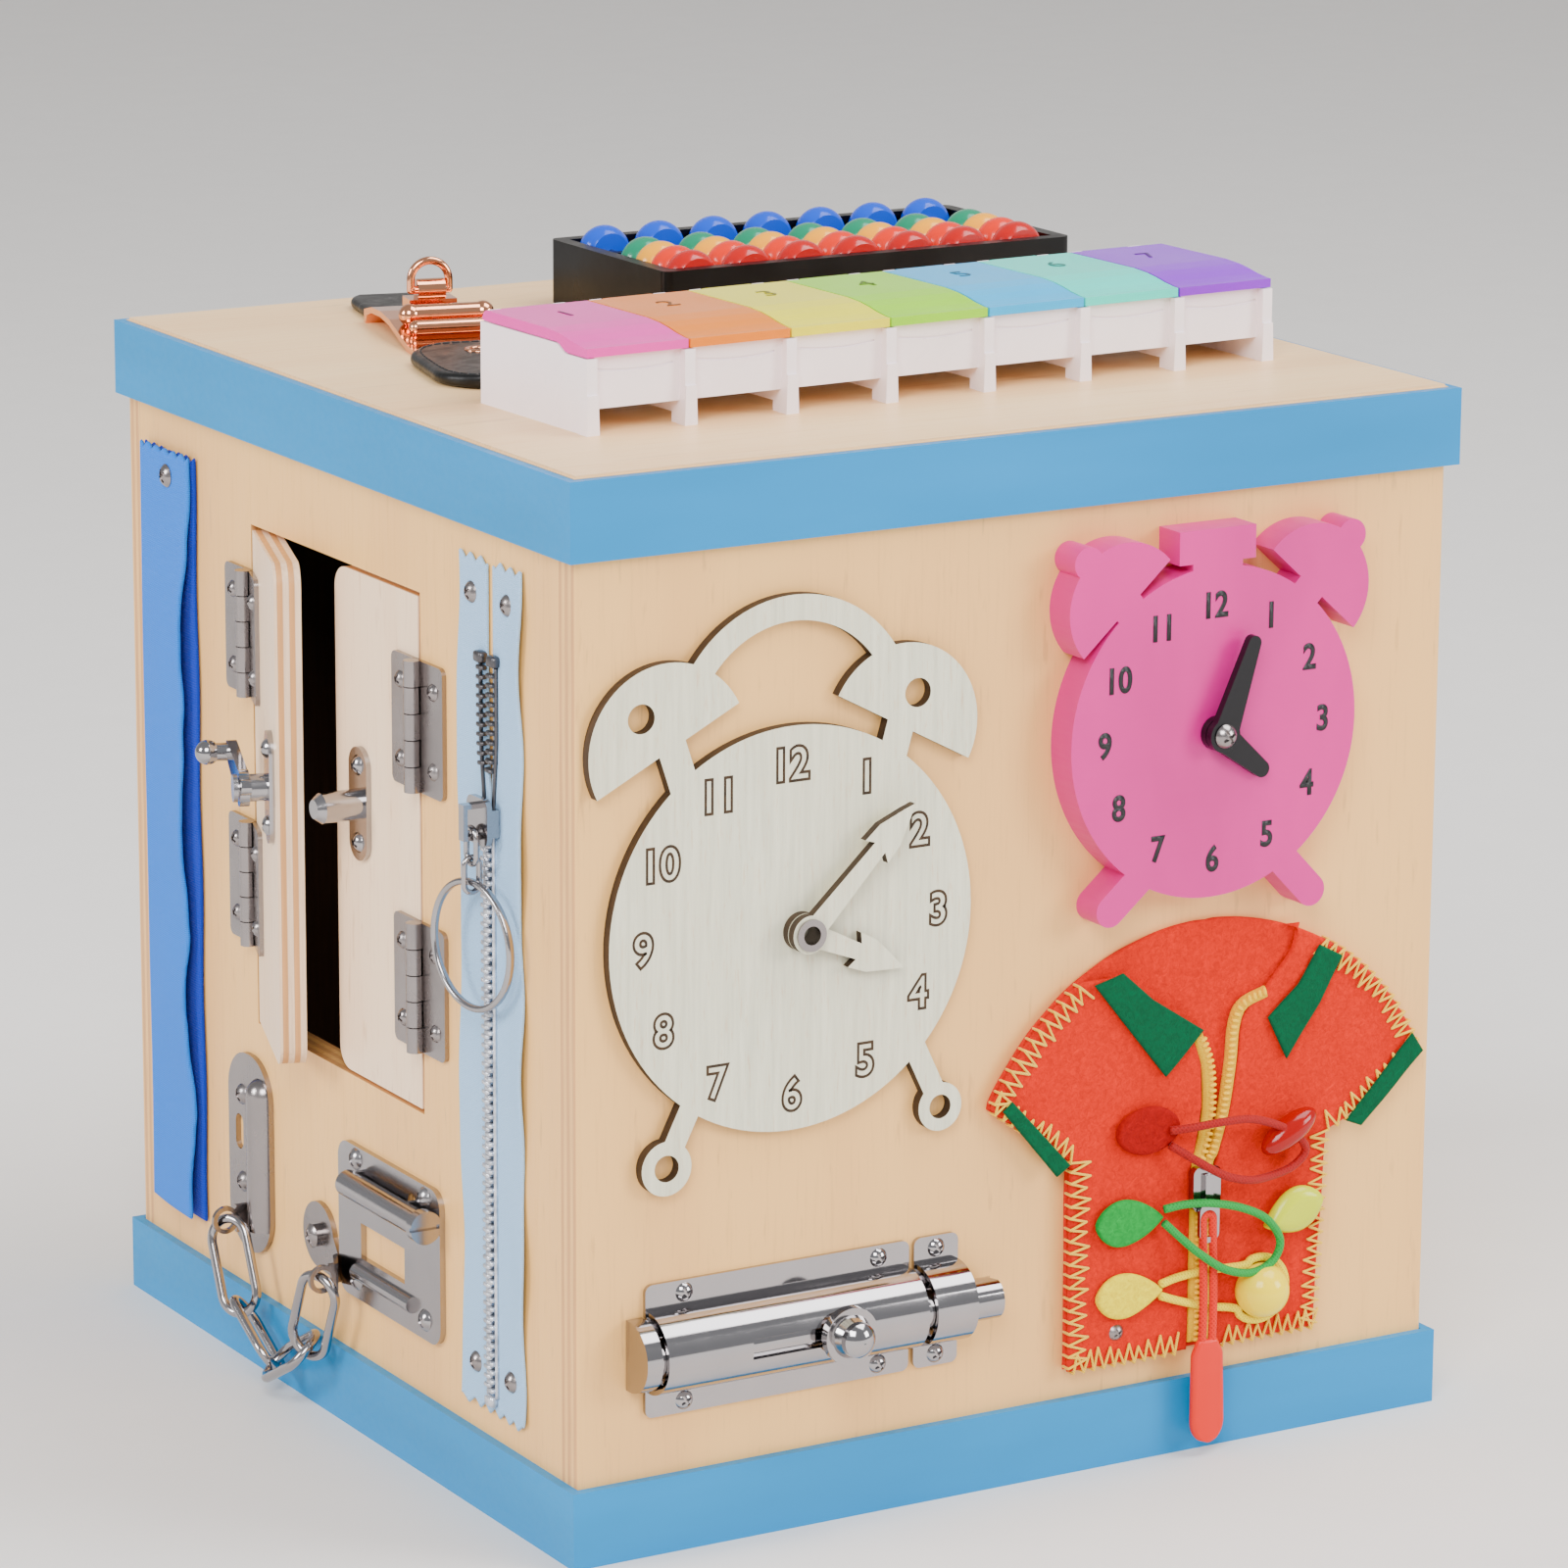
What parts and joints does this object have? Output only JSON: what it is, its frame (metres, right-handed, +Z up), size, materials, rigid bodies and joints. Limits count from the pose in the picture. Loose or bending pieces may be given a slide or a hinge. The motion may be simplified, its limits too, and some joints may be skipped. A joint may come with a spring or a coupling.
{
  "type": "wooden busy board",
  "caption": "Plywood activity cube with practice fasteners on its faces: doors, hinges, latch, chain, zips, bolt, clocks, felt shirt, pill box, abacus and clasp",
  "frame": {"origin": "centre of the base", "axes": "+Z up; the face with the two clocks looks along -Y, the face with the doors along -X, the abacus and pill box are on top"},
  "size_m": [0.2809, 0.2793, 0.299],
  "materials": {
    "birch_ply": "clear satin lacquer",
    "blue_trim": "satin",
    "blue_strap": "woven nylon",
    "steel": "plated",
    "pale_ply": "clear satin lacquer",
    "chrome": "bright plated",
    "pale_tape": "woven polyester",
    "dark_teeth": "dull",
    "laser_ply": "raw, scorched edges",
    "pink_paint": "satin paint",
    "black_plastic": "satin",
    "orange_felt": "felt",
    "green_felt": "felt",
    "yellow_zip": "moulded",
    "orange_cord": "soft plastic over cord",
    "red_button": "gloss",
    "green_button": "gloss",
    "yellow_button": "gloss",
    "elastic": "elastic cord",
    "white_plastic": "gloss",
    "lid_pink": "clear tinted",
    "lid_orange": "clear tinted",
    "lid_yellow": "clear tinted",
    "lid_lime": "clear tinted",
    "lid_sky": "clear tinted",
    "lid_aqua": "clear tinted",
    "lid_purple": "clear tinted",
    "bead_blue": "gloss",
    "bead_mixed": "gloss",
    "black_leather": "smooth",
    "rose_gold": "bright plated"
  },
  "bodies": {
    "cabinet": {"front_panel": "birch_ply", "back_panel": "birch_ply", "left_panel": "birch_ply", "right_panel": "birch_ply", "top_panel": "birch_ply", "bottom_panel": "birch_ply", "trim_bands": "blue_trim", "hook_loop_strap": "blue_strap", "hinge_frame_leaves": "steel", "chain_track": "steel", "chain_bracket": "steel", "guard_plate": "chrome", "zip_tapes": "pale_tape", "zip_teeth": "dark_teeth", "panel_fasteners": "steel", "wood_clock": "laser_ply", "pink_clock": "pink_paint", "shirt_back": "orange_felt", "shirt_flaps": "orange_felt", "shirt_trim": "green_felt", "shirt_zip": "yellow_zip", "red_fastener": "red_button", "green_fastener": "green_button", "yellow_fastener": "yellow_button", "shirt_loops": "elastic", "bolt_housing": "chrome", "bolt_keeper": "chrome", "pill_tray": "white_plastic", "abacus_frame": "black_plastic", "abacus_rods": "steel", "clasp_strap": "black_leather", "clasp_body": "rose_gold", "clasp_tongue": "black_leather"},
    "left_door": {"left_door": "pale_ply", "left_door_leaves": "steel", "latch_plate": "chrome"},
    "right_door": {"right_door": "pale_ply", "right_door_leaves": "steel", "latch_keeper": "chrome"},
    "latch_lever": {"latch_lever": "chrome"},
    "chain": {"chain_links": "chrome"},
    "zip_slider": {"zip_slider": "chrome"},
    "zip_pull": {"zip_pull": "chrome"},
    "wood_hour_hand": {"wood_hour_hand": "laser_ply"},
    "wood_minute_hand": {"wood_minute_hand": "laser_ply"},
    "pink_hour_hand": {"pink_hour_hand": "black_plastic"},
    "pink_minute_hand": {"pink_minute_hand": "black_plastic"},
    "shirt_slider": {"shirt_slider": "chrome", "shirt_pull": "orange_cord"},
    "bolt_rod": {"bolt_rod": "chrome"},
    "upper_beads": {"abacus_upper_beads": "bead_blue"},
    "lower_beads": {"abacus_lower_beads": "bead_mixed"},
    "clasp_ring": {"clasp_ring": "rose_gold"},
    "pill_lid_1": {"pill_lid_1": "lid_pink"},
    "pill_lid_2": {"pill_lid_2": "lid_orange"},
    "pill_lid_3": {"pill_lid_3": "lid_yellow"},
    "pill_lid_4": {"pill_lid_4": "lid_lime"},
    "pill_lid_5": {"pill_lid_5": "lid_sky"},
    "pill_lid_6": {"pill_lid_6": "lid_aqua"},
    "pill_lid_7": {"pill_lid_7": "lid_purple"}
  },
  "joints": [
    {"name": "left_door_hinge", "type": "hinge", "parent": "cabinet", "child": "left_door", "pos_m": [-0.13, 0.05135, 0.1635], "axis": [0, 0, -1], "range_deg": [-19, 91]},
    {"name": "right_door_hinge", "type": "hinge", "parent": "cabinet", "child": "right_door", "pos_m": [-0.13, -0.04605, 0.1635], "axis": [0, 0, 1], "range_deg": [0, 110]},
    {"name": "latch_lever_turn", "type": "hinge", "parent": "left_door", "child": "latch_lever", "pos_m": [-0.1471, 0.01705, 0.17], "axis": [0.9455, -0.3256, 0], "range_deg": [0, 155]},
    {"name": "chain_swing", "type": "hinge", "parent": "cabinet", "child": "chain", "pos_m": [-0.1367, 0.0545, 0.041], "axis": [0, 1, 0], "range_deg": [0, 85]},
    {"name": "zip_slide", "type": "slide", "parent": "cabinet", "child": "zip_slider", "axis": [0, 0, 1], "range_m": [-0.122, 0.026]},
    {"name": "zip_pull_swing", "type": "hinge", "parent": "zip_slider", "child": "zip_pull", "pos_m": [-0.13395, -0.0855, 0.18035], "axis": [0, 1, 0], "range_deg": [0, 95]},
    {"name": "wood_hour_turn", "type": "hinge", "parent": "cabinet", "child": "wood_hour_hand", "pos_m": [-0.0665, -0.132, 0.15604], "axis": [0, -1, 0], "continuous": true},
    {"name": "wood_minute_turn", "type": "hinge", "parent": "cabinet", "child": "wood_minute_hand", "pos_m": [-0.0665, -0.1347, 0.15604], "axis": [0, -1, 0], "continuous": true},
    {"name": "pink_hour_turn", "type": "hinge", "parent": "cabinet", "child": "pink_hour_hand", "pos_m": [0.051, -0.1384, 0.1939], "axis": [0, -1, 0], "continuous": true},
    {"name": "pink_minute_turn", "type": "hinge", "parent": "cabinet", "child": "pink_minute_hand", "pos_m": [0.051, -0.1409, 0.1939], "axis": [0, -1, 0], "continuous": true},
    {"name": "shirt_zip_slide", "type": "slide", "parent": "cabinet", "child": "shirt_slider", "axis": [0, 0, 1], "range_m": [-0.003, 0.03]},
    {"name": "bolt_slide", "type": "slide", "parent": "cabinet", "child": "bolt_rod", "axis": [-1, 0, 0], "range_m": [0, 0.024]},
    {"name": "pill_lid_1_hinge", "type": "hinge", "parent": "cabinet", "child": "pill_lid_1", "pos_m": [-0.08772, -0.02888, 0.2962], "axis": [-0.9993, -0.0373, 0], "range_deg": [0, 100]},
    {"name": "pill_lid_2_hinge", "type": "hinge", "parent": "cabinet", "child": "pill_lid_2", "pos_m": [-0.05803, -0.02777, 0.2962], "axis": [-0.9993, -0.0373, 0], "range_deg": [0, 100]},
    {"name": "pill_lid_3_hinge", "type": "hinge", "parent": "cabinet", "child": "pill_lid_3", "pos_m": [-0.02833, -0.02667, 0.2962], "axis": [-0.9993, -0.0373, 0], "range_deg": [0, 100]},
    {"name": "pill_lid_4_hinge", "type": "hinge", "parent": "cabinet", "child": "pill_lid_4", "pos_m": [0.00136, -0.02556, 0.2962], "axis": [-0.9993, -0.0373, 0], "range_deg": [0, 100]},
    {"name": "pill_lid_5_hinge", "type": "hinge", "parent": "cabinet", "child": "pill_lid_5", "pos_m": [0.03106, -0.02445, 0.2962], "axis": [-0.9993, -0.0373, 0], "range_deg": [0, 100]},
    {"name": "pill_lid_6_hinge", "type": "hinge", "parent": "cabinet", "child": "pill_lid_6", "pos_m": [0.06075, -0.02334, 0.2962], "axis": [-0.9993, -0.0373, 0], "range_deg": [0, 100]},
    {"name": "pill_lid_7_hinge", "type": "hinge", "parent": "cabinet", "child": "pill_lid_7", "pos_m": [0.09044, -0.02223, 0.2962], "axis": [-0.9993, -0.0373, 0], "range_deg": [0, 100]},
    {"name": "upper_beads_slide", "type": "slide", "parent": "cabinet", "child": "upper_beads", "axis": [0, -1, 0], "range_m": [0, 0.0057]},
    {"name": "lower_beads_slide", "type": "slide", "parent": "cabinet", "child": "lower_beads", "axis": [0, 1, 0], "range_m": [0, 0.0057]},
    {"name": "clasp_ring_flip", "type": "hinge", "parent": "cabinet", "child": "clasp_ring", "pos_m": [-0.06578, 0.06797, 0.2864], "axis": [0.9744, -0.225, 0], "range_deg": [-78, 78]}
  ]
}
